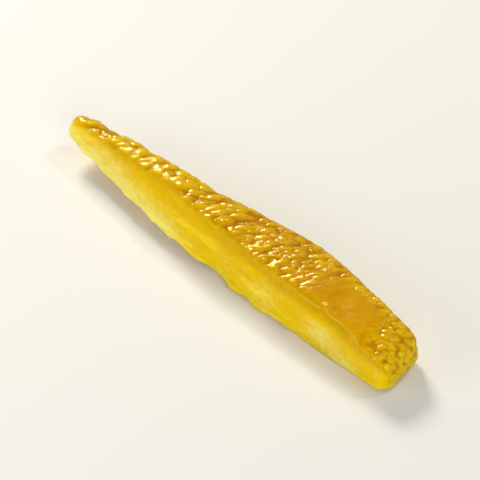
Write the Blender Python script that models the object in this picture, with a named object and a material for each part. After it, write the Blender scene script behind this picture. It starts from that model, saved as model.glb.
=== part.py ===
"""One strip of candied yuzu peel, lying on its pith with the rind up, as one solid.

The strip was cut from a thick, bumpy rind: slim at one tip, widest past the middle, blunt at the other end.
Its outline comes from a few named sections. The pebbled rind, the grain of the two cut faces and the
spongy pith underneath are relief along the surface normal.
"""

import math

import bmesh
import bpy
from mathutils import Matrix, Vector, noise

MM = 0.001

# X runs along the strip from the slim tip to the blunt end, Y across it and Z up from the table.
LENGTH = 60.3 * MM

# Share of the length, rind width, thickness, underside above the table, roll in degrees,
# rind to one side, lean of the near cut
SECTIONS = (
    (0.00, 2.6 * MM, 1.8 * MM, 2.5 * MM, 16, -0.10 * MM, 0.20),
    (0.13, 3.2 * MM, 3.6 * MM, 1.4 * MM, 18, -0.50 * MM, 0.20),
    (0.30, 4.1 * MM, 5.0 * MM, 0.6 * MM, 15, -0.65 * MM, 0.22),
    (0.50, 6.4 * MM, 5.8 * MM, 0.0 * MM, 5, 0.35 * MM, 0.28),
    (0.63, 7.8 * MM, 5.9 * MM, 0.0 * MM, 1, 0.95 * MM, 0.27),
    (0.80, 7.1 * MM, 5.3 * MM, 0.1 * MM, -1, 0.60 * MM, 0.20),
    (1.00, 6.6 * MM, 3.7 * MM, 0.8 * MM, -4, 0.15 * MM, 0.10),
)

# The knife went in at a slant, so the pith is wider than the rind. Leans are shares of the thickness
FAR_LEAN = 0.05

# Height that a section rolls about, as a share of its thickness
ROLL_CENTRE = 0.45

# Rounding of the long edges, rise of the rind and hollow of the cut faces. They are whole where the strip
# is this thick, and shrink with it to their least share
RIND_CORNER = 0.75 * MM
PITH_CORNER = 0.65 * MM
RIND_CAMBER = 0.50 * MM
CUT_DIP = 0.15 * MM
ROUNDED_AT, LEAST_ROUNDING = 4.0 * MM, 0.3

# Each end: how far in the section narrows and how far in it sinks, both down to nothing, how bluntly,
# and the share of the thickness it sinks to. The pith runs out under the slim tip. The blunt end falls back
# on the far side and underneath.
TIP_NARROWS, TIP_SINKS, TIP_BLUNTNESS, TIP_MEETS = 2.6 * MM, 3.6 * MM, 2.0, 0.62
END_NARROWS, END_SINKS, END_BLUNTNESS, END_MEETS = 2.0 * MM, 3.4 * MM, 2.4, 0.18
END_SLANT, END_UNDERCUT, END_SLANT_FROM = 1.6 * MM, 0.25 * MM, 0.82

# The rind turns down over the blunt end while that narrows from the first of these shares to the second
TURNS_DOWN_FROM, TURNED_DOWN_AT = 0.93, 0.65

# Each end closes in a point this far outside its last ring
CLOSING_RISE = 0.01 * MM

# How far the four long edges stray from a straight cut and over what length, both again for a quicker
# wandering on top, as shares of the first two, and how much more the soft pith strays
STRAY, STRAY_LENGTH = 0.42 * MM, 9.0 * MM
QUICK_STRAY, QUICK_LENGTH = 0.35, 1 / 2.7
PITH_STRAY = 1.3

# Depth of the soft underside that the strip's own weight has pressed flat
REST_FLAT = 0.60 * MM

# Rind: rounded pebbles that meet in creases, drawn out at an angle to the strip, higher in some places
# than in others, and one smooth patch
PEBBLE_HEIGHT = 0.62 * MM
PEBBLE_LENGTH, PEBBLE_WIDTH = 1.90 * MM, 1.22 * MM
PEBBLE_TURN = math.radians(52)
PEBBLE_HEIGHTS, PEBBLE_HEIGHTS_LENGTH = (0.75, 0.60), 6.0 * MM
SMOOTH_PATCH_AT, SMOOTH_PATCH_REACH, SMOOTHING = 0.82, 0.11, 0.85

# Pebbles come back along the far edge of the smooth patch, from this far across to this, and one stands
# alone in it
FAR_PEBBLES_FROM, FAR_PEBBLES_WHOLE_AT = 1.6 * MM, 2.8 * MM
LONE_PEBBLE_AT, LONE_PEBBLE_REACH, LONE_PEBBLE_HEIGHT = (18.2 * MM, -2.2 * MM), 1.0 * MM, 0.35 * MM

# Smaller pebbles among the others past the middle, and more of them at the blunt end. Each row: the share of
# the length where they begin, where they are fullest, and how much they take over
FINER_SIZE = 0.58
FINER = ((0.40, 0.54, 0.45), (0.84, 0.92, 0.35))

# Domes of the pebbles and of the pith's cells: how far one reaches, how much and how closely their grid
# is warped, and the level between crown and crease that is left where it is, on the rind and in the pith
DOME_REACH = 0.9
DOME_WARP, DOME_WARP_PACE = 0.35, 0.9
RIND_MIDDLE, PITH_MIDDLE = 0.66, 0.60

# Slow unevenness of the whole strip: size of a swelling and its height
SWELLING, SWELLING_HEIGHT = 7.5 * MM, 0.42 * MM

# Cut faces: long shallow streaks of pith fibre
STREAK_LENGTH, STREAK_WIDTH, STREAK_HEIGHT = 7.0 * MM, 1.4 * MM, 0.24 * MM

# Underside: pits of the spongy pith, shallower near the ends, and the torn lip along its lower edges
PIT_SIZE, PIT_DEPTH, PIT_FREE_END = 2.6 * MM, 0.55 * MM, 6.0 * MM
LIP_LENGTH, LIP_REACH, LIP_BIAS = 3.4 * MM, 0.32 * MM, 0.4

# All relief dies out at the ends, once the section has narrowed to this share
RELIEF_WHOLE_AT = 1 / 1.5

# The surface is worked out on a fine grid, then thinned to few triangles where it is plain
BODY_RINGS, END_RINGS = 300, 16
RIND_STEPS, CUT_STEPS, PITH_STEPS, CORNER_STEPS = 34, 12, 14, 5
TRIANGLES = 11600
FLAT_WITHIN = 0.03 * MM


def clear_scene():
    for thing in list(bpy.data.objects):
        bpy.data.objects.remove(thing)


def along_sections(share, column):
    """One column of SECTIONS at this share of the length, on a smooth curve through all its rows."""
    last = len(SECTIONS) - 1
    i = 0
    while i < last - 1 and share > SECTIONS[i + 1][0]:
        i += 1

    def slope(k):
        low, high = max(k - 1, 0), min(k + 1, last)
        rise = SECTIONS[high][column] - SECTIONS[low][column]
        return rise / (SECTIONS[high][0] - SECTIONS[low][0])

    run = SECTIONS[i + 1][0] - SECTIONS[i][0]
    t = (share - SECTIONS[i][0]) / run
    start, end = SECTIONS[i][column], SECTIONS[i + 1][column]
    return (
        start * (2 * t**3 - 3 * t**2 + 1)
        + slope(i) * run * (t**3 - 2 * t**2 + t)
        + end * (3 * t**2 - 2 * t**3)
        + slope(i + 1) * run * (t**3 - t**2)
    )


def eased(value, start, full):
    """From 0 at the start to 1 where it is full, smoothly."""
    t = min(1.0, max(0.0, (value - start) / (full - start)))
    return t * t * (3 - 2 * t)


def openness(share):
    """How much of its width and of its thickness a section keeps, and the height its closing heads for."""
    from_tip, from_end = share * LENGTH, (1 - share) * LENGTH
    if from_tip < from_end:
        gap = from_tip
        narrows, sinks, bluntness, meets = TIP_NARROWS, TIP_SINKS, TIP_BLUNTNESS, TIP_MEETS
    else:
        gap = from_end
        narrows, sinks, bluntness, meets = END_NARROWS, END_SINKS, END_BLUNTNESS, END_MEETS

    def kept(reach):
        return (1 - max(0.0, 1 - gap / reach) ** bluntness) ** (1 / bluntness)

    return kept(narrows), kept(sinks), meets


def turned_down(share):
    """How much of a section's sides the rind has taken over, where it turns down over the blunt end."""
    narrowed = openness(share)[0]
    return eased(-narrowed, -TURNS_DOWN_FROM, -TURNED_DOWN_AT) if share > 0.5 else 0.0


def ring_shares():
    """Where the rings stand along the strip: evenly along its body, ever closer round its two ends."""
    tip = [TIP_NARROWS * (i / END_RINGS) ** 2 for i in range(1, END_RINGS)]
    body = LENGTH - TIP_NARROWS - END_NARROWS
    even = [TIP_NARROWS + body * i / BODY_RINGS for i in range(BODY_RINGS + 1)]
    end = [LENGTH - END_NARROWS * (i / END_RINGS) ** 2 for i in range(END_RINGS - 1, 0, -1)]
    return [place / LENGTH for place in tip + even + end]


def rounded_outline(corners, radii, edge_steps):
    """Points round a four-sided outline with rounded corners.

    Each point comes with the number of its side, and how far it has turned on to it from the one before.
    """
    points = []
    for i, corner in enumerate(corners):
        after = corners[(i + 1) % 4]
        to_before = (corners[i - 1] - corner).normalized()
        to_after = (after - corner).normalized()
        half = to_before.angle(to_after) / 2
        next_half = (-to_after).angle((corners[(i + 2) % 4] - after).normalized()) / 2
        middle = corner + (to_before + to_after).normalized() * radii[i] / math.sin(half)
        arc_start = corner + to_before * radii[i] / math.tan(half) - middle
        arc_end = corner + to_after * radii[i] / math.tan(half) - middle
        for k in range(CORNER_STEPS):
            turned = k / CORNER_STEPS
            points.append((middle + arc_start.slerp(arc_end, turned) * radii[i], i, turned))
        edge_start = middle + arc_end
        edge_end = after - to_after * radii[(i + 1) % 4] / math.tan(next_half)
        for k in range(edge_steps[i]):
            points.append((edge_start.lerp(edge_end, k / edge_steps[i]), i, 1.0))
    return points


def wander(spot):
    """A smooth random direction and distance, different in every part of space."""
    return Vector([noise.noise(spot + Vector((offset, 0.3, 0.6))) for offset in (0.0, 31.4, 77.7)])


def stray(share, edge):
    """How far one long edge has strayed from its straight line at this share of the length."""
    spot = Vector((share * LENGTH / STRAY_LENGTH, edge * 5.3, 0.1))
    drift = wander(spot) + wander(spot / QUICK_LENGTH) * QUICK_STRAY
    return Vector((drift.x, drift.y)) * STRAY


def section(share):
    """One ring: each point's place, and how much of it is rind and how much is pith."""
    width = along_sections(share, 1)
    thickness = along_sections(share, 2)
    lift = along_sections(share, 3)
    roll = math.radians(along_sections(share, 4))
    aside = along_sections(share, 5)
    near_lean = along_sections(share, 6)
    corners = (
        Vector((-width / 2, thickness)) + stray(share, 0),
        Vector((width / 2, thickness)) + stray(share, 1),
        Vector((width / 2 + FAR_LEAN * thickness, 0)) + stray(share, 2) * PITH_STRAY,
        Vector((-width / 2 - near_lean * thickness, 0)) + stray(share, 3) * PITH_STRAY,
    )
    size = min(1.0, LEAST_ROUNDING + (1 - LEAST_ROUNDING) * thickness / ROUNDED_AT)
    radii = (RIND_CORNER * size, RIND_CORNER * size, PITH_CORNER * size, PITH_CORNER * size)
    outline = rounded_outline(corners, radii, (RIND_STEPS, CUT_STEPS, PITH_STEPS, CUT_STEPS))
    across_kept, upward_kept, meets = openness(share)
    meeting = thickness * meets
    slanted = max(0.0, (share - END_SLANT_FROM) / (1 - END_SLANT_FROM)) ** 2
    ring = []
    for point, side, turned in outline:
        rind = turned if side == 0 else 1 - turned if side == 1 else 0.0
        pith = turned if side == 2 else 1 - turned if side == 3 else 0.0
        rind += (1 - rind - pith) * turned_down(share)
        cut = 1 - rind - pith
        across = point.x / (width / 2)
        height = min(max(point.y / thickness, 0.0), 1.0)
        y = point.x - math.copysign(CUT_DIP * size * cut * math.sin(math.pi * height), point.x)
        z = point.y + RIND_CAMBER * size * rind * max(0.0, 1 - across**2)
        y, z = y * across_kept, meeting + (z - meeting) * upward_kept
        x = (share - 0.5) * LENGTH
        x -= slanted * (END_SLANT * (0.5 + y / width) + END_UNDERCUT * (1 - z / thickness))
        rolled = Vector((y, z - thickness * ROLL_CENTRE)) @ Matrix.Rotation(roll, 2)
        place = Vector((x, aside + rolled.x, lift + thickness * ROLL_CENTRE + rolled.y))
        ring.append((place, rind, pith))
    return ring


def crowns(place, length, width, turn):
    """Rounded domes that meet in creases: near 1 on a crown, about a half in a crease.

    The domes' long way lies at this angle to the strip.
    """
    x = place.x * math.cos(turn) + place.y * math.sin(turn)
    y = place.y * math.cos(turn) - place.x * math.sin(turn)
    spot = Vector((x / length, y / width, place.z / width))
    nearest = noise.voronoi(spot + wander(spot * DOME_WARP_PACE) * DOME_WARP)[0][0]
    return max(0.0, 1 - (nearest / DOME_REACH) ** 2)


def pebbles(place, share):
    """The large pebbles with the smaller ones mixed in."""
    finer = sum(mixed * eased(share, start, full) for start, full, mixed in FINER)
    large = crowns(place, PEBBLE_LENGTH, PEBBLE_WIDTH, PEBBLE_TURN)
    small = crowns(place, PEBBLE_LENGTH * FINER_SIZE, PEBBLE_WIDTH * FINER_SIZE, PEBBLE_TURN)
    return large + (small - large) * finer


def calm(place, share):
    """How much of the smooth patch there is here, from 0 to 1."""
    along = math.exp(-(((share - SMOOTH_PATCH_AT) / SMOOTH_PATCH_REACH) ** 4))
    return along * (1 - eased(place.y, FAR_PEBBLES_FROM, FAR_PEBBLES_WHOLE_AT))


def lone_pebble(place):
    away = (place.xy - Vector(LONE_PEBBLE_AT)).length / LONE_PEBBLE_REACH
    return LONE_PEBBLE_HEIGHT * max(0.0, 1 - away**2) ** 2


def rind_relief(place, share):
    usual, differing = PEBBLE_HEIGHTS
    height = PEBBLE_HEIGHT * (usual + differing * noise.noise(place / PEBBLE_HEIGHTS_LENGTH))
    pebbled = (pebbles(place, share) - RIND_MIDDLE) * (1 - SMOOTHING * calm(place, share))
    return height * pebbled + lone_pebble(place)


def cut_relief(place):
    spot = Vector((place.x / STREAK_LENGTH, place.y / STREAK_LENGTH, place.z / STREAK_WIDTH))
    return STREAK_HEIGHT * noise.noise(spot)


def pith_relief(place, share):
    from_end = min(share, 1 - share) * LENGTH
    depth = PIT_DEPTH * min(1.0, from_end / PIT_FREE_END)
    return depth * (PITH_MIDDLE - crowns(place, PIT_SIZE, PIT_SIZE, 0.0))


def lip_relief(place, pith):
    """The torn edge where the underside turns up into a cut face."""
    at_edge = 4 * pith * (1 - pith)
    return LIP_REACH * at_edge * (LIP_BIAS + noise.noise(place / LIP_LENGTH))


def relief(place, share, rind, pith):
    open_share = openness(share)[0]
    made = (
        SWELLING_HEIGHT * noise.noise(place / SWELLING)
        + rind * rind_relief(place, share)
        + (1 - rind - pith) * cut_relief(place)
        + pith * pith_relief(place, share)
        + open_share**2 * lip_relief(place, pith)
    )
    return made * min(1.0, open_share / RELIEF_WHOLE_AT)


def skin(shape):
    """Rings and end points joined into one closed surface. Returns what each vertex is made of."""
    facts = []
    rings = []
    for share in ring_shares():
        ring = []
        for place, rind, pith in section(share):
            ring.append(shape.verts.new(place))
            facts.append((share, rind, pith))
        rings.append(ring)
    for first, second in zip(rings, rings[1:]):
        for i in range(len(first)):
            shape.faces.new((first[i - 1], second[i - 1], second[i], first[i]))
    for ring, share in ((rings[0], 0.0), (rings[-1], 1.0)):
        end = sum((vert.co for vert in ring), Vector()) / len(ring)
        outward = 1 if share else -1
        tip = shape.verts.new((end.x + outward * CLOSING_RISE, end.y, end.z))
        facts.append((share, 0.5, 0.0))
        for i in range(len(ring)):
            shape.faces.new((ring[i - 1], ring[i], tip) if share else (ring[i], ring[i - 1], tip))
    bmesh.ops.recalc_face_normals(shape, faces=shape.faces)
    shape.normal_update()
    return facts


def peel_mesh():
    """The skinned surface with its relief, pressed flat where it rests and set on the origin."""
    shape = bmesh.new()
    facts = skin(shape)
    moved = [vert.co + vert.normal * relief(vert.co, *fact) for vert, fact in zip(shape.verts, facts)]
    table = min(place.z for place in moved) + REST_FLAT
    for vert, place in zip(shape.verts, moved):
        vert.co = (place.x, place.y, max(place.z, table))
    lows = [min(vert.co[axis] for vert in shape.verts) for axis in range(3)]
    highs = [max(vert.co[axis] for vert in shape.verts) for axis in range(3)]
    to_origin = Vector(((lows[0] + highs[0]) / -2, (lows[1] + highs[1]) / -2, -lows[2]))
    bmesh.ops.translate(shape, verts=shape.verts, vec=to_origin)
    bmesh.ops.triangulate(shape, faces=shape.faces)
    mesh = bpy.data.meshes.new("peel")
    shape.to_mesh(mesh)
    shape.free()
    mesh.shade_smooth()
    return mesh


def candied_material():
    made = bpy.data.materials.new("candied_peel")
    made.use_nodes = True
    shader = made.node_tree.nodes["Principled BSDF"]
    shader.inputs["Base Color"].default_value = (0.66, 0.36, 0.02, 1)
    shader.inputs["Roughness"].default_value = 0.28
    shader.inputs["Metallic"].default_value = 0.0
    return made


def thinned(thing, triangles):
    """The object's mesh with about this many triangles left, most of them where it curves."""
    thin = thing.modifiers.new("Thin", "DECIMATE")
    thin.ratio = triangles / len(thing.data.polygons)
    fine = thing.evaluated_get(bpy.context.evaluated_depsgraph_get())
    made = bpy.data.meshes.new_from_object(fine)
    thing.modifiers.clear()
    for vert in made.vertices:
        if vert.co.z < FLAT_WITHIN:
            vert.co.z = 0.0
    return made


clear_scene()
peel = bpy.data.objects.new("peel", peel_mesh())
bpy.context.scene.collection.objects.link(peel)
peel.data = thinned(peel, TRIANGLES)
peel.data.materials.append(candied_material())
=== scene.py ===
import math

import bmesh
import bpy
from mathutils import Matrix, Vector, noise


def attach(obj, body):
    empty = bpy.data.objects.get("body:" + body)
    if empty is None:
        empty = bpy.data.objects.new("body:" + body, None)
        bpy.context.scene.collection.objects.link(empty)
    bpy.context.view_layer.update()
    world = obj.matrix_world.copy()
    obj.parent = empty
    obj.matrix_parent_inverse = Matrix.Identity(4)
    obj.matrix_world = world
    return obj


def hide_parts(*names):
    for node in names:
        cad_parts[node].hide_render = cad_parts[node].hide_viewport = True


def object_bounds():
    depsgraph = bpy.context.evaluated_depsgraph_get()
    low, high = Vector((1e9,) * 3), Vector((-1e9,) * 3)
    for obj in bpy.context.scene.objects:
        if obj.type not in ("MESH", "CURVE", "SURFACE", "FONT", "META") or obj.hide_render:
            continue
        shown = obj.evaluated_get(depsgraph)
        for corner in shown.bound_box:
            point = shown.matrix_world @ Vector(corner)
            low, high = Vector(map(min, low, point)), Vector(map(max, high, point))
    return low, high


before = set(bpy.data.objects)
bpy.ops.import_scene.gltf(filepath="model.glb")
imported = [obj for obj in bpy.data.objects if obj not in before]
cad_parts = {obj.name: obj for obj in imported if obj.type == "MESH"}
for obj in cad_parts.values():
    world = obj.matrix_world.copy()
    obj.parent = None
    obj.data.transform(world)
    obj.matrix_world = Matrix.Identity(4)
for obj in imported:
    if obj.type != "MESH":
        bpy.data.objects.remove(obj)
cadLow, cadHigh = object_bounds()
mm = 0.001

# Form of the strip. The rows run from the slim tip to the blunt end
strip = {
    "length": 60.3 * mm,
    # share of the length, rind width, thickness, underside above the table, roll in degrees,
    # rind to one side, slant of the near cut as a share of the thickness
    "cuts": (
        (0.00, 2.6 * mm, 1.8 * mm, 2.5 * mm, 16, -0.10 * mm, 0.20),
        (0.13, 3.2 * mm, 3.6 * mm, 1.4 * mm, 18, -0.50 * mm, 0.20),
        (0.30, 4.1 * mm, 5.0 * mm, 0.6 * mm, 15, -0.65 * mm, 0.22),
        (0.50, 6.4 * mm, 5.8 * mm, 0.0 * mm, 5, 0.35 * mm, 0.28),
        (0.63, 7.8 * mm, 5.9 * mm, 0.0 * mm, 1, 0.95 * mm, 0.27),
        (0.80, 7.1 * mm, 5.3 * mm, 0.1 * mm, -1, 0.60 * mm, 0.20),
        (1.00, 6.6 * mm, 3.7 * mm, 0.8 * mm, -4, 0.15 * mm, 0.10),
    ),
    "farLean": 0.05,  # slant of the far cut, as a share of the thickness too
    "rollCentre": 0.45,  # height that a slice rolls about, as a share of its thickness
    "rindCorner": 0.75 * mm,
    "pithCorner": 0.65 * mm,
    "camber": 0.50 * mm,  # rise of the rind's middle
    "dip": 0.15 * mm,  # hollow of the cut faces
    "rounded": (4.0 * mm, 0.3),  # thickness where these four are whole, and the least share of them
    "stray": (0.42 * mm, 9.0 * mm),  # how far the long edges wander from a straight cut, and how slowly
    "quickStray": (0.35, 1 / 2.7),  # a quicker wander on top, as shares of those two
    "pithStray": 1.3,  # the lower edges wander this many times as far
    "strayRows": (5.3, 0.1),  # step between the edges' rows in the noise, and how deep in it they lie
    "pressed": 0.60 * mm,  # soft underside flattened by the strip's own weight
    # each end: narrows over, sinks over, bluntness, height it closes at
    "tip": (2.6 * mm, 3.6 * mm, 2.0, 0.62),
    "end": (2.0 * mm, 3.4 * mm, 2.4, 0.18),
    # how far the blunt end falls back on the far side and underneath, and from which share of the length
    "endSlant": (1.6 * mm, 0.25 * mm, 0.82),
    "turnsDown": (0.93, 0.65),  # the rind turns down over the blunt end as it narrows to these shares
    "closing": 0.01 * mm,  # how far the last point of each end stands out
    "bodyRings": 560,
    "endRings": 22,
    "steps": (64, 26, 18, 26),  # points along rind, far cut, pith, near cut
    "cornerSteps": 6,
}


def alongCuts(share, column):
    # a smooth curve through one column of the rows
    rows = strip["cuts"]
    last = len(rows) - 1
    i = 0
    while i < last - 1 and share > rows[i + 1][0]:
        i += 1

    def slope(k):
        low, high = max(k - 1, 0), min(k + 1, last)
        return (rows[high][column] - rows[low][column]) / (rows[high][0] - rows[low][0])

    run = rows[i + 1][0] - rows[i][0]
    t = (share - rows[i][0]) / run
    return (
        rows[i][column] * (2 * t**3 - 3 * t**2 + 1)
        + slope(i) * run * (t**3 - 2 * t**2 + t)
        + rows[i + 1][column] * (3 * t**2 - 2 * t**3)
        + slope(i + 1) * run * (t**3 - t**2)
    )


def eased(value, start, full):
    # 0 up to start, 1 from full on, smooth between them
    t = min(1.0, max(0.0, (value - start) / (full - start)))
    return t * t * (3 - 2 * t)


def keptAt(share):
    # width and thickness left of a slice near an end, and the height it closes at
    fromTip, fromEnd = share * strip["length"], (1 - share) * strip["length"]
    gap, ending = (fromTip, strip["tip"]) if fromTip < fromEnd else (fromEnd, strip["end"])
    narrows, sinks, blunt, meets = ending

    def kept(reach):
        return (1 - max(0.0, 1 - gap / reach) ** blunt) ** (1 / blunt)

    return kept(narrows), kept(sinks), meets


def turnedDown(share):
    # the rind takes over the sides where it turns down over the blunt end
    start, full = strip["turnsDown"]
    return eased(-keptAt(share)[0], -start, -full) if share > 0.5 else 0.0


def sliceShares():
    # where the slices lie, closer together at both ends
    tipReach, endReach = strip["tip"][0], strip["end"][0]
    ends, rings = strip["endRings"], strip["bodyRings"]
    body = strip["length"] - tipReach - endReach
    places = [tipReach * (i / ends) ** 2 for i in range(1, ends)]
    places += [tipReach + body * i / rings for i in range(rings + 1)]
    places += [strip["length"] - endReach * (i / ends) ** 2 for i in range(ends - 1, 0, -1)]
    return [place / strip["length"] for place in places]


def roundedOutline(corners, radii):
    # points round a slice, each with the side it turns into and how far it has turned
    points = []
    for i, corner in enumerate(corners):
        after = corners[(i + 1) % 4]
        toBefore = (corners[i - 1] - corner).normalized()
        toAfter = (after - corner).normalized()
        half = toBefore.angle(toAfter) / 2
        nextHalf = (-toAfter).angle((corners[(i + 2) % 4] - after).normalized()) / 2
        middle = corner + (toBefore + toAfter).normalized() * radii[i] / math.sin(half)
        arcStart = corner + toBefore * radii[i] / math.tan(half) - middle
        arcEnd = corner + toAfter * radii[i] / math.tan(half) - middle
        for k in range(strip["cornerSteps"]):
            turned = k / strip["cornerSteps"]
            points.append((middle + arcStart.slerp(arcEnd, turned) * radii[i], i, turned))
        edgeStart = middle + arcEnd
        edgeEnd = after - toAfter * radii[(i + 1) % 4] / math.tan(nextHalf)
        for k in range(strip["steps"][i]):
            points.append((edgeStart.lerp(edgeEnd, k / strip["steps"][i]), i, 1.0))
    return points


# places in the noise where the drift along each axis starts
wanderStarts = [Vector((along, 0.3, 0.6)) for along in (0.0, 31.4, 77.7)]


def wander(spot):
    return Vector([noise.noise(spot + start) for start in wanderStarts])


def strayed(share, edge):
    reach, length = strip["stray"]
    quickReach, quickLength = strip["quickStray"]
    step, depth = strip["strayRows"]
    spot = Vector((share * strip["length"] / length, edge * step, depth))
    drift = wander(spot) + wander(spot / quickLength) * quickReach
    return Vector((drift.x, drift.y)) * reach


def sliceOf(share):
    # points of a slice, each with its shares of rind and pith and its height as a share of the slice's
    width, thickness, lift, roll, aside, lean = (alongCuts(share, column) for column in range(1, 7))
    roll = math.radians(roll)
    corners = (
        Vector((-width / 2, thickness)) + strayed(share, 0),
        Vector((width / 2, thickness)) + strayed(share, 1),
        Vector((width / 2 + strip["farLean"] * thickness, 0)) + strayed(share, 2) * strip["pithStray"],
        Vector((-width / 2 - lean * thickness, 0)) + strayed(share, 3) * strip["pithStray"],
    )
    wholeAt, least = strip["rounded"]
    size = min(1.0, least + (1 - least) * thickness / wholeAt)
    radii = [strip[name] * size for name in ("rindCorner", "rindCorner", "pithCorner", "pithCorner")]
    acrossKept, upKept, meets = keptAt(share)
    meeting, centre = thickness * meets, thickness * strip["rollCentre"]
    turned = Matrix.Rotation(roll, 2)
    slant, undercut, slantFrom = strip["endSlant"]
    slanted = max(0.0, (share - slantFrom) / (1 - slantFrom)) ** 2
    points = []
    for point, side, onward in roundedOutline(corners, radii):
        rind = onward if side == 0 else 1 - onward if side == 1 else 0.0
        pith = onward if side == 2 else 1 - onward if side == 3 else 0.0
        rind += (1 - rind - pith) * turnedDown(share)
        cut = 1 - rind - pith
        across = point.x / (width / 2)
        height = min(max(point.y / thickness, 0.0), 1.0)
        y = point.x - math.copysign(strip["dip"] * size * cut * math.sin(math.pi * height), point.x)
        z = point.y + strip["camber"] * size * rind * max(0.0, 1 - across**2)
        y, z = y * acrossKept, meeting + (z - meeting) * upKept
        x = (share - 0.5) * strip["length"]
        x -= slanted * (slant * (0.5 + y / width) + undercut * (1 - z / thickness))
        rolled = Vector((y, z - centre)) @ turned
        points.append((Vector((x, aside + rolled.x, lift + centre + rolled.y)), rind, pith, height))
    return points


# Surface of the strip
surface = {
    "pebbleHeight": 0.62 * mm,
    "pebbleLength": 1.90 * mm,
    "pebbleWidth": 1.22 * mm,
    "pebbleTurn": math.radians(52),  # they are drawn out at this angle to the strip
    "domes": (0.9, 0.35, 0.9),  # how far a dome reaches, how much and how closely their grid is warped
    "smoothPatch": (0.82, 0.11),  # share of the length and reach where the pebbles almost vanish
    "smoothing": 0.85,  # how much of their height is lost there
    "farPebbles": (1.6 * mm, 2.8 * mm),  # they come back past the patch, from this far across to this
    "lonePebble": (18.2 * mm, -2.2 * mm, 1.0 * mm, 0.35 * mm),  # one in it: where, reach and height
    # smaller pebbles among the others: their size, then from, fullest at and how many, twice
    "finerSize": 0.58,
    "finer": ((0.40, 0.54, 0.45), (0.84, 0.92, 0.35)),
    "patchy": (0.75, 0.60, 6.0 * mm),  # usual share of that height, its swing either way, how slow
    "middles": (0.66, 0.60),  # level of a dome that is left where it is, on the rind and in the pith
    "wholeAt": 1 / 1.5,  # all relief dies out at the ends, once the strip has narrowed to this share
    "swelling": (7.5 * mm, 0.42 * mm),  # size and height of slow swells all over
    "streaks": (7.0 * mm, 1.4 * mm, 0.24 * mm),  # length, width and height on the cut faces
    "pits": (2.6 * mm, 0.55 * mm, 6.0 * mm),  # size and depth in the pith, shallower this near to an end
    "lip": (3.4 * mm, 0.32 * mm, 0.4),  # length, reach and bias of the torn lower edges
    "glands": (0.60 * mm, 0.05 * mm),  # oil glands in the rind
    "fibres": (2.6 * mm, 0.42 * mm, 0.045 * mm),  # fine fibres on the cut faces
}


def crowns(place, length, width, turn):
    # rounded domes that meet in creases: near 1 on a dome's crown, about a half in a crease
    x = place.x * math.cos(turn) + place.y * math.sin(turn)
    y = place.y * math.cos(turn) - place.x * math.sin(turn)
    reach, warp, pace = surface["domes"]
    spot = Vector((x / length, y / width, place.z / width))
    nearest = noise.voronoi(spot + wander(spot * pace) * warp)[0][0]
    return max(0.0, 1 - (nearest / reach) ** 2)


def calmAt(place, share):
    # 1 in the smooth patch, 0 away from it and at its far edge
    at, reach = surface["smoothPatch"]
    return math.exp(-(((share - at) / reach) ** 4)) * (1 - eased(place.y, *surface["farPebbles"]))


def lonePebble(place):
    # the pebble that stands alone in the smooth patch
    x, y, reach, height = surface["lonePebble"]
    away = math.hypot(place.x - x, place.y - y) / reach
    return height * max(0.0, 1 - away**2) ** 2


def pebblesAt(place, share):
    # large domes, with finer ones mixed in where the strip has them
    length, width, turn = surface["pebbleLength"], surface["pebbleWidth"], surface["pebbleTurn"]
    size = surface["finerSize"]
    finer = sum(mixed * eased(share, start, full) for start, full, mixed in surface["finer"])
    large = crowns(place, length, width, turn)
    return large + (crowns(place, length * size, width * size, turn) - large) * finer


def reliefAt(place, share, rind, pith):
    # how far a point stands out, and its level on a dome of the rind
    cut = 1 - rind - pith
    size, height = surface["swelling"]
    made = height * noise.noise(place / size)
    rindMiddle, pithMiddle = surface["middles"]
    crown = rindMiddle
    if rind > 0:
        crown, calm = pebblesAt(place, share), calmAt(place, share)
        usual, differing, length = surface["patchy"]
        height = surface["pebbleHeight"] * (usual + differing * noise.noise(place / length))
        made += rind * height * (crown - rindMiddle) * (1 - surface["smoothing"] * calm)
        made += rind * lonePebble(place)
        size, depth = surface["glands"]
        made -= rind * depth * (crowns(place, size, size, 0.0) - rindMiddle) * (1 - calm)
    if cut > 0:
        length, width, height = surface["streaks"]
        made += cut * height * noise.noise(Vector((place.x / length, place.y / length, place.z / width)))
        length, width, height = surface["fibres"]
        made += cut * height * noise.noise(Vector((place.x / length, place.y / width, place.z / width)))
    if pith > 0:
        size, depth, freeEnd = surface["pits"]
        depth *= min(1.0, min(share, 1 - share) * strip["length"] / freeEnd)
        made += pith * depth * (pithMiddle - crowns(place, size, size, 0.0))
    kept = keptAt(share)[0]
    length, reach, bias = surface["lip"]
    made += reach * 4 * pith * (1 - pith) * (bias + noise.noise(place / length)) * kept**2
    return made * min(1.0, kept / surface["wholeAt"]), crown


def paint(red, green, blue):
    # a colour as seen on screen, turned into the shader's own scale
    def linear(value):
        value /= 255
        return value / 12.92 if value <= 0.04045 else ((value + 0.055) / 1.055) ** 2.4

    return (linear(red), linear(green), linear(blue), 1.0)


# Where the colours lie on the strip, along its length as shares of it
spread = {
    "amberRind": (0.66, 0.24),  # middle and reach of the stretch where the rind is deepest
    "deepens": (0.34, 0.58),  # the band under the rind turns from gold to amber from here to here
    # where the cut face is palest: share of the length, height, reach along and up, strength
    "paleSpots": (
        (0.08, 0.35, 0.12, 0.60, 0.75),
        (0.26, 0.15, 0.12, 0.35, 0.55),
        (0.19, 0.02, 0.18, 0.30, 0.80),
        (0.64, 0.40, 0.05, 0.30, 0.25),
        (0.80, 0.48, 0.05, 0.22, 0.62),
        (0.86, 0.13, 0.05, 0.21, 0.72),
    ),
    "cutEnd": (0.95, 0.70),  # the blunt end turns to a cut face as its thickness sinks to these shares
}


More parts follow.
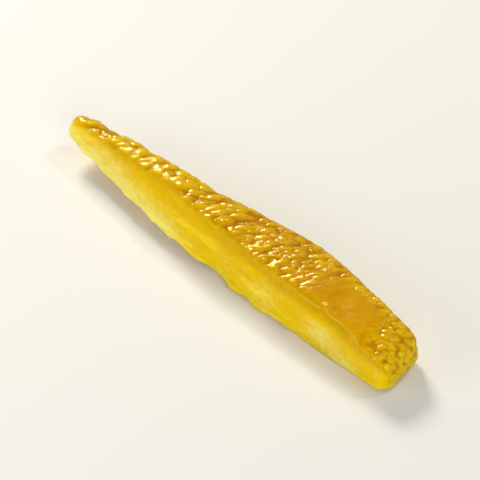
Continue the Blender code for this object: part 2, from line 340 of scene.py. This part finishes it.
def paleAt(share, height):
    pale = 0.0
    for at, up, reach, reachUp, strength in spread["paleSpots"]:
        pale += strength * math.exp(-(((share - at) / reach) ** 2) - ((height - up) / reachUp) ** 2)
    return min(1.0, pale)


def giltAt(share):
    # the rind is amber past the middle and more golden towards both ends
    at, reach = spread["amberRind"]
    return 1 - math.exp(-(((share - at) / reach) ** 4))


def cutEndAt(share):
    # the face of the blunt end, yellow as the other cuts
    start, full = spread["cutEnd"]
    return eased(-keptAt(share)[1], -start, -full) if share > 0.5 else 0.0


def addSlices(shape):
    # slices joined from tip to blunt end and closed by a point at each, with the facts of every
    # point: its share of the length, its shares of rind and pith, its height as a share
    facts = []
    rings = []
    for share in sliceShares():
        ring = []
        for place, rind, pith, height in sliceOf(share):
            ring.append(shape.verts.new(place))
            facts.append((share, rind, pith, height))
        rings.append(ring)
    for first, second in zip(rings, rings[1:]):
        for i in range(len(first)):
            shape.faces.new((first[i - 1], second[i - 1], second[i], first[i]))
    for ring, share in ((rings[0], 0.0), (rings[-1], 1.0)):
        end = sum((vert.co for vert in ring), Vector()) / len(ring)
        outward = strip["closing"] if share else -strip["closing"]
        point = shape.verts.new((end.x + outward, end.y, end.z))
        facts.append((share, 0.5, 0.0, 0.5))  # half rind and half cut, at mid height
        for i in range(len(ring)):
            shape.faces.new((ring[i - 1], ring[i], point) if share else (ring[i], ring[i - 1], point))
    bmesh.ops.recalc_face_normals(shape, faces=shape.faces)
    shape.normal_update()
    return facts


def raiseRelief(shape, facts):
    # moves each point out or in along its normal, and gives the marks that the finish reads
    marks = []
    for vert, (share, rind, pith, height) in zip(shape.verts, facts):
        made, crown = reliefAt(vert.co, share, rind, pith)
        mark = {
            "pale": paleAt(share, height),
            "rind": rind,
            "pith": pith,
            "height": height,
            "crown": crown,
            "calm": calmAt(vert.co, share),
            "gilt": giltAt(share),
            "cutEnd": cutEndAt(share),
            "deep": eased(share, *spread["deepens"]),
        }
        marks.append(mark)
        vert.co += vert.normal * made
    return marks


def settle(shape):
    # presses the underside flat, moves the strip to the solid's place and keeps it in that box
    table = min(vert.co.z for vert in shape.verts) + strip["pressed"]
    for vert in shape.verts:
        vert.co.z = max(vert.co.z, table)
    lows = [min(vert.co[axis] for vert in shape.verts) for axis in range(3)]
    highs = [max(vert.co[axis] for vert in shape.verts) for axis in range(3)]
    home = (cadLow + cadHigh) / 2
    shift = (home.x - (lows[0] + highs[0]) / 2, home.y - (lows[1] + highs[1]) / 2, cadLow.z - lows[2])
    bmesh.ops.translate(shape, verts=shape.verts, vec=shift)
    for vert in shape.verts:
        vert.co = [min(max(vert.co[axis], cadLow[axis]), cadHigh[axis]) for axis in range(3)]


def makePeel():
    shape = bmesh.new()
    facts = addSlices(shape)
    marks = raiseRelief(shape, facts)
    settle(shape)
    mesh = bpy.data.meshes.new("candiedPeel")
    shape.to_mesh(mesh)
    shape.free()
    mesh.shade_smooth()
    for name in marks[0]:
        column = mesh.attributes.new(name, "FLOAT", "POINT")
        column.data.foreach_set("value", [mark[name] for mark in marks])
    return mesh


def addToScene(name, data):
    # a mesh, light or camera as an object of the scene
    made = bpy.data.objects.new(name, data)
    bpy.context.scene.collection.objects.link(made)
    return made


peel = addToScene("candiedPeel", makePeel())
print("peel made:", len(peel.data.polygons), "faces")


# A material and its nodes: a value goes into a node's socket as a link or as it is
class Nodes:
    def __init__(self, name):
        self.material = bpy.data.materials.new(name)
        self.material.use_nodes = True
        self.tree = self.material.node_tree
        self.tree.nodes.clear()
        self.output = self.tree.nodes.new("ShaderNodeOutputMaterial")

    def add(self, kind, inputs=None, **settings):
        made = self.tree.nodes.new("ShaderNode" + kind)
        for name, value in settings.items():
            setattr(made, name, value)
        for name, value in (inputs or {}).items():
            self.feed(made.inputs[name], value)
        return made

    def feed(self, socket, value):
        if isinstance(value, bpy.types.NodeSocket):
            self.tree.links.new(value, socket)
        else:
            socket.default_value = value

    def attribute(self, name):
        return self.add("Attribute", attribute_name=name).outputs["Fac"]

    def math(self, operation, a, b=0.0, c=0.0):
        made = self.add("Math", operation=operation)
        for socket, value in zip(made.inputs, (a, b, c)):
            self.feed(socket, value)
        return made.outputs[0]

    def steps(self, value, low, high, toLow=0.0, toHigh=1.0):
        inputs = {"Value": value, "From Min": low, "From Max": high, "To Min": toLow, "To Max": toHigh}
        return self.add("MapRange", inputs, interpolation_type="SMOOTHSTEP").outputs[0]

    def rest(self, value):
        # what a share leaves of the whole
        return self.math("SUBTRACT", 1.0, value)

    def about(self, value, strength):
        # a noise made to swing about nothing, this strongly
        return self.math("MULTIPLY", self.math("SUBTRACT", value, 0.5), strength)

    def mix(self, share, a, b):
        made = self.add("Mix", data_type="RGBA")
        self.feed(made.inputs[0], share)
        self.feed(made.inputs[6], a)
        self.feed(made.inputs[7], b)
        return made.outputs[2]

    def noise(self, place, along, size, detail, roughness):
        if along < 1:
            place = self.add("Mapping", {"Vector": place, "Scale": (along, 1.0, 1.0)}).outputs[0]
        inputs = {"Vector": place, "Scale": 1 / size, "Detail": detail, "Roughness": roughness}
        return self.add("TexNoise", inputs).outputs["Fac"]

    def finished(self, inputs):
        shader = self.add("BsdfPrincipled", inputs)
        self.feed(self.output.inputs["Surface"], shader.outputs[0])
        return self.material


# Grains of the finish: scale along the strip, under 1 for drawn out, then size, detail, roughness
grainRows = {
    "patches": (1.0, 5.5 * mm, 3.0, 0.5),
    "clouds": (0.45, 2.8 * mm, 4.0, 0.5),
    "sponge": (0.7, 0.55 * mm, 3.0, 0.6),
    "streaks": (0.18, 0.60 * mm, 3.0, 0.5),
    "wrinkles": (1.0, 0.50 * mm, 4.0, 0.6),
    "fibres": (0.3, 0.35 * mm, 4.0, 0.6),
    "sheen": (1.0, 2.2 * mm, 2.0, 0.5),
}

# Colours of the rind
rindLook = {
    "deep": paint(199, 135, 0),
    "gold": paint(219, 170, 2),
    # painted highlight: a lighter gold laid on the crowns of the domes
    "crownHighlight": paint(232, 190, 10),
    # painted shade: a darker amber laid in the creases between the domes
    "crease": paint(176, 112, 0),
    "calm": paint(212, 153, 0),
    "end": paint(250, 214, 34),
    "turnsGold": (0.38, 0.72),  # levels of the patches where it is still deep and all gold
    "gilding": 0.34,  # how far the patches rise towards gold at both ends
    # levels of a dome from and to which the painted highlight on the crowns and the painted shade in the
    # creases change, and how much of each shows at each level
    "crownHighlightLevels": (0.4, 1.0, 0.0, 0.6),
    "creaseShadeLevels": (0.3, 0.62, 0.5, 0.0),
    "calmShare": 0.7,
    "endShare": 0.5,
}


def rindColour(look, grains):
    # deep and gold in drifting patches, with painted highlight lighter on the crowns and painted shade,
    # a darker amber, in the creases
    crown, calm = look.attribute("crown"), look.attribute("calm")
    golden = look.math("MULTIPLY_ADD", look.attribute("gilt"), rindLook["gilding"], grains["patches"])
    colour = look.mix(look.steps(golden, *rindLook["turnsGold"]), rindLook["deep"], rindLook["gold"])
    # painted highlight: the crowns of the domes turn lighter
    colour = look.mix(look.steps(crown, *rindLook["crownHighlightLevels"]), colour, rindLook["crownHighlight"])
    ended = look.math("MULTIPLY", look.attribute("cutEnd"), rindLook["endShare"])
    colour = look.mix(ended, colour, rindLook["end"])
    # painted shade: the creases turn darker amber, but not in the smooth patch
    creased = look.math("MULTIPLY", look.steps(crown, *rindLook["creaseShadeLevels"]), look.rest(calm))
    colour = look.mix(creased, colour, rindLook["crease"])
    return look.mix(look.math("MULTIPLY", calm, rindLook["calmShare"]), colour, rindLook["calm"])


# Colours of the cut faces and the pith
cutLook = {
    "gold": paint(240, 203, 2),
    "pale": paint(255, 232, 120),
    "cloudy": 1.1,  # how far the clouds and the spongy grain turn it paler or deeper
    "spongy": 1.3,
    "streak": paint(234, 192, 0),
    "streaked": (0.5, 0.72, 0.0, 0.4),  # levels of the streaks, and how much shows at each
    "bandGold": paint(224, 185, 2),  # band just under the rind
    "bandAmber": paint(214, 172, 0),
    "bandHeights": (0.62, 0.98),  # it fades in between these heights
    "bandDrift": 0.35,  # how far the clouds move it up and down
    "bandSinks": 0.05,  # how much lower it reaches where it is amber
    "gland": paint(240, 182, 0),  # cut oil glands, small clear spots in the band
    "glandGap": 0.95 * mm,
    "glandScatter": 0.8,
    "glandHeights": (0.60, 0.78),
    "glandReach": (0.2, 0.55, 1.0, 0.0),  # whole and gone at these shares of the gap
    "glandShare": 0.55,
    "pith": paint(255, 225, 152),
    "pithFade": 3.0,  # how fast the pith's colour fades out up the cut
}


def cutGlands(look, place, bandAt):
    # 1 on the oil glands that are cut through, 0 beside them and outside the band
    scattered = {
        "Vector": place,
        "Scale": 1 / cutLook["glandGap"],
        "Randomness": cutLook["glandScatter"],
    }
    away = look.add("TexVoronoi", scattered).outputs["Distance"]
    inBand = look.steps(bandAt, *cutLook["glandHeights"])
    return look.math("MULTIPLY", inBand, look.steps(away, *cutLook["glandReach"]))


def cutColour(look, grains, bandAt, glands):
    # gold with pale clouds, spongy grain and faint streaks, deeper under the rind
    pith, spots, deep = look.attribute("pith"), look.attribute("pale"), look.attribute("deep")
    pale = look.math("ADD", spots, look.about(grains["clouds"], cutLook["cloudy"]))
    pale = look.math("ADD", pale, look.about(grains["sponge"], cutLook["spongy"]))
    colour = look.mix(look.steps(pale, 0.0, 1.0), cutLook["gold"], cutLook["pale"])
    colour = look.mix(look.steps(grains["streaks"], *cutLook["streaked"]), colour, cutLook["streak"])
    sunk = look.math("MULTIPLY_ADD", deep, cutLook["bandSinks"], bandAt)
    bandColour = look.mix(deep, cutLook["bandGold"], cutLook["bandAmber"])
    colour = look.mix(look.steps(sunk, *cutLook["bandHeights"]), colour, bandColour)
    colour = look.mix(look.math("MULTIPLY", glands, cutLook["glandShare"]), colour, cutLook["gland"])
    fading = look.math("POWER", pith, cutLook["pithFade"])
    pithShare = look.math("MAXIMUM", fading, look.math("MULTIPLY", pith, spots))
    return look.mix(pithShare, colour, cutLook["pith"])


# Edge where the rind meets the cut faces
edgeLook = {
    "ragged": 0.4,  # how far the patches move it
    "rindShares": (0.05, 0.75),  # all cut up to the first, all rind from the second
    "gold": paint(214, 169, 2),  # a line along it
    "amber": paint(208, 161, 0),
    "strength": 3.6,
}


def edgeLine(look, colour):
    # strongest half way from cut to rind, and none on the blunt end
    rind = look.attribute("rind")
    line = look.math("MULTIPLY", look.math("MULTIPLY", rind, look.rest(rind)), edgeLook["strength"])
    line = look.math("MULTIPLY", line, look.rest(look.attribute("cutEnd")))
    lineColour = look.mix(look.attribute("deep"), edgeLook["gold"], edgeLook["amber"])
    return look.mix(line, colour, lineColour)


# Gloss, inner glow and fine relief
gloss = {
    "rough": (0.3, 0.7, 0.16, 0.26),  # levels of the sheen's noise, and the roughness at each
    "smoother": 0.08,  # less rough by this towards both ends
    "ior": 1.47,
    "specular": 0.52,
    "tint": (1.0, 0.94, 0.08, 1.0),
    "glow": (1.8 * mm, 2.4 * mm, 0.8 * mm),  # how far red, green and blue light wander inside
    "depth": 0.05 * mm,  # of the wrinkles, fibres and spongy grain
    "fibres": 0.5,
    "sponge": 0.9,
    "glands": 0.4,
    "calmer": 0.8,  # share of it that is lost in the smooth patch
}


def fineRelief(look, grains, edge, glands):
    # wrinkles on the rind, spongy grain and fibres on the cut faces
    fibres = look.math("MULTIPLY", grains["fibres"], gloss["fibres"])
    spongy = look.math("ADD", fibres, look.math("MULTIPLY", grains["sponge"], gloss["sponge"]))
    spongy = look.math("SUBTRACT", spongy, look.math("MULTIPLY", glands, gloss["glands"]))
    fine = look.math("MULTIPLY_ADD", edge, look.math("SUBTRACT", grains["wrinkles"], spongy), spongy)
    strength = look.math("MULTIPLY_ADD", look.attribute("calm"), -gloss["calmer"], 1.0)
    bump = look.add("Bump", {"Height": fine, "Strength": strength, "Distance": gloss["depth"]})
    return bump.outputs[0]


def candiedFinish():
    look = Nodes("candiedPeel")
    place = look.add("TexCoord").outputs["Object"]
    grains = {name: look.noise(place, *row) for name, row in grainRows.items()}
    drift = look.about(grains["clouds"], cutLook["bandDrift"])
    bandAt = look.math("ADD", look.attribute("height"), drift)
    glands = cutGlands(look, place, bandAt)
    ragged = look.about(grains["patches"], edgeLook["ragged"])
    edge = look.steps(look.math("ADD", look.attribute("rind"), ragged), *edgeLook["rindShares"])
    colour = look.mix(edge, cutColour(look, grains, bandAt, glands), rindColour(look, grains))
    rough = look.steps(grains["sheen"], *gloss["rough"])
    inputs = {
        "Base Color": edgeLine(look, colour),
        "Roughness": look.math("MULTIPLY_ADD", look.attribute("gilt"), -gloss["smoother"], rough),
        "IOR": gloss["ior"],
        "Subsurface Weight": 1.0,
        "Subsurface Scale": 1.0,
        "Subsurface Radius": gloss["glow"],
        "Specular IOR Level": gloss["specular"],
        "Specular Tint": gloss["tint"],
        "Normal": fineRelief(look, grains, edge, glands),
    }
    return look.finished(inputs)


peel.data.materials.append(candiedFinish())
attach(peel, "root")
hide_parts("peel")
print("candied finish on")

# Floor and light
studio = {
    "floorRadius": 2.4,
    "floorSides": 96,
    "floorColour": paint(236, 234, 229),
    "floorRough": 0.55,
    "floorGlow": (0.08, 1.1, 0.0, 0.80),  # pale past the reach of the lights too: from, to, how much
    "world": (0.95, 0.96, 1.0, 1.0),
    "worldStrength": 0.22,
    "backdrop": 0.86,
    # soft boxes, each turned to the strip: name, place, width and height, watts, colour
    "lights": (
        ("keyLight", (-0.484, 0.183, 0.305), (0.17, 0.13), 2.7, (1.0, 0.97, 0.86)),
        ("fillLight", (-0.20, -0.66, 0.20), (0.60, 0.36), 1.9, (1.0, 0.99, 0.96)),
        ("sideLight", (0.54, -0.34, 0.30), (0.30, 0.30), 1.5, (1.0, 0.99, 0.96)),
        ("rimLight", (0.10, 0.33, 0.42), (0.06, 0.06), 0.35, (1.0, 0.97, 0.88)),
        ("topLight", (0.25, 0.10, 0.70), (0.50, 0.40), 0.9, (1.0, 0.98, 0.92)),
    ),
}


def turnedTo(way):
    # how a light or the camera is turned to look this way
    return way.to_track_quat("-Z", "Y").to_euler()


def makeFloor():
    mesh = bpy.data.meshes.new("floor")
    shape = bmesh.new()
    sides, radius = studio["floorSides"], studio["floorRadius"]
    bmesh.ops.create_circle(shape, cap_ends=True, segments=sides, radius=radius)
    shape.to_mesh(mesh)
    shape.free()
    floor = addToScene("floor", mesh)
    look = Nodes("floor")
    away = look.add("VectorMath", {0: look.add("TexCoord").outputs["Object"]}, operation="LENGTH")
    inputs = {
        "Base Color": studio["floorColour"],
        "Roughness": studio["floorRough"],
        "Emission Color": studio["floorColour"],
        "Emission Strength": look.steps(away.outputs["Value"], *studio["floorGlow"]),
    }
    mesh.materials.append(look.finished(inputs))
    floor.visible_glossy = False  # keeps its white out of the glossy cut faces


def softbox(name, at, size, watts, colour):
    light = bpy.data.lights.new(name, "AREA")
    light.shape = "RECTANGLE"
    light.size, light.size_y = size
    light.energy = watts
    light.color = colour
    lamp = addToScene(name, light)
    lamp.location = at
    lamp.rotation_euler = turnedTo(-Vector(at))
    lamp.visible_camera = False


def makeWorld():
    # soft light all round, and pale behind the floor where the camera sees past it
    world = bpy.data.worlds.new("studio")
    world.use_nodes = True
    tree = world.node_tree
    seen = tree.nodes.new("ShaderNodeLightPath").outputs["Is Camera Ray"]
    strength = tree.nodes.new("ShaderNodeMapRange")
    strength.inputs["To Min"].default_value = studio["worldStrength"]
    strength.inputs["To Max"].default_value = studio["backdrop"]
    tree.links.new(seen, strength.inputs["Value"])
    tree.links.new(strength.outputs[0], tree.nodes["Background"].inputs["Strength"])
    tree.nodes["Background"].inputs["Color"].default_value = studio["world"]
    bpy.context.scene.world = world


makeFloor()
for row in studio["lights"]:
    softbox(*row)
makeWorld()
bpy.context.scene.view_settings.view_transform = "Standard"
print("studio ready")

# Camera at the photo's angle round and down, with the width of the view at the strip
shot = {
    "azimuth": 50,
    "elevation": 38,
    "distance": 0.83,
    "viewWidth": 0.056,
    "aim": (0, 0, 3 * mm),
    "sensor": 36,  # in millimetres, as the camera has it
    "clip": (0.05, 10),
}


def placeCamera():
    camera = bpy.data.cameras.new("camera")
    camera.sensor_width = shot["sensor"]
    camera.lens = shot["sensor"] * shot["distance"] / shot["viewWidth"]
    camera.clip_start, camera.clip_end = shot["clip"]
    holder = addToScene("camera", camera)
    a, e = math.radians(shot["azimuth"]), math.radians(shot["elevation"])
    back = Vector((math.sin(a) * math.cos(e), -math.cos(a) * math.cos(e), math.sin(e)))
    holder.location = Vector(shot["aim"]) + back * shot["distance"]
    holder.rotation_euler = turnedTo(-back)
    bpy.context.scene.camera = holder


placeCamera()
print("all set")
